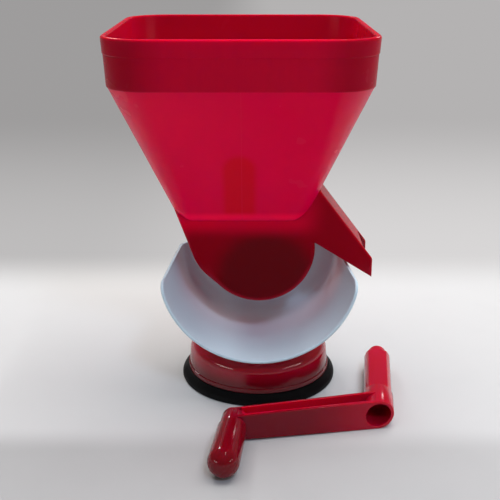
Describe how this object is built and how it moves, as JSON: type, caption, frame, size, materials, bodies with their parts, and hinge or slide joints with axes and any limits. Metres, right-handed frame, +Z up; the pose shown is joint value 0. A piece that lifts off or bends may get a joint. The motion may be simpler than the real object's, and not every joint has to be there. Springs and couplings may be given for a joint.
{
  "type": "rotary cheese grater",
  "caption": "Hand-cranked drum grater with a square funnel hopper, round housing with a side spout, white scoop stand on a suction foot, and a loose crank with a turning grip.",
  "frame": {"origin": "on the table under the middle of the suction foot", "axes": "+Z up, the housing's flat front faces -Y, the spout points to +X; the drum axis runs along Y"},
  "size_m": [0.2004, 0.2446, 0.261],
  "materials": {
    "red_plastic": "glossy moulded",
    "white_plastic": "glossy moulded",
    "black_rubber": "matte",
    "steel": "plain",
    "nylon": "natural, satin"
  },
  "bodies": {
    "stand": {"hopper": "red_plastic", "drum_housing": "red_plastic", "back_cover": "red_plastic", "cover_screws": "steel", "bearing_bush": "nylon", "thrust_washer": "nylon", "stand_tray": "white_plastic", "stand_screws": "steel", "foot_screws": "steel", "base_cap": "red_plastic", "suction_cup": "black_rubber"},
    "drum": {"drum_core": "nylon", "drum_front_disc": "nylon", "drum_rear_disc": "nylon", "drum_shell": "steel"},
    "lock_shaft": {"cam_shaft": "steel", "cam_clip": "steel", "suction_lever": "red_plastic", "lever_screw": "steel"},
    "plunger": {"plunger": "nylon"},
    "crank": {"crank_arm": "red_plastic", "grip_pin": "steel"},
    "grip": {"grip": "red_plastic"}
  },
  "joints": [
    {"name": "drum_spin", "type": "hinge", "parent": "stand", "child": "drum", "pos_m": [0, 0, 0.1065], "axis": [0, 1, 0], "continuous": true},
    {"name": "lever_turn", "type": "hinge", "parent": "stand", "child": "lock_shaft", "pos_m": [0, 0.0539, 0.017], "axis": [0, 1, 0], "range_deg": [0, 180]},
    {"name": "plunger_lift", "type": "slide", "parent": "stand", "child": "plunger", "axis": [0, 0, 1], "range_m": [0, 0.004]},
    {"name": "crank_lift", "type": "slide", "parent": "stand", "child": "crank", "axis": [0, 0, 1], "range_m": [0, 0.05]},
    {"name": "grip_spin", "type": "hinge", "parent": "crank", "child": "grip", "pos_m": [-0.02123, -0.1314, 0.0106], "axis": [0.1184, 0.993, 0], "continuous": true}
  ],
  "couplings": [
    {"joint": "plunger_lift", "follows": "lever_turn", "m_per_rad": 0.001273}
  ]
}
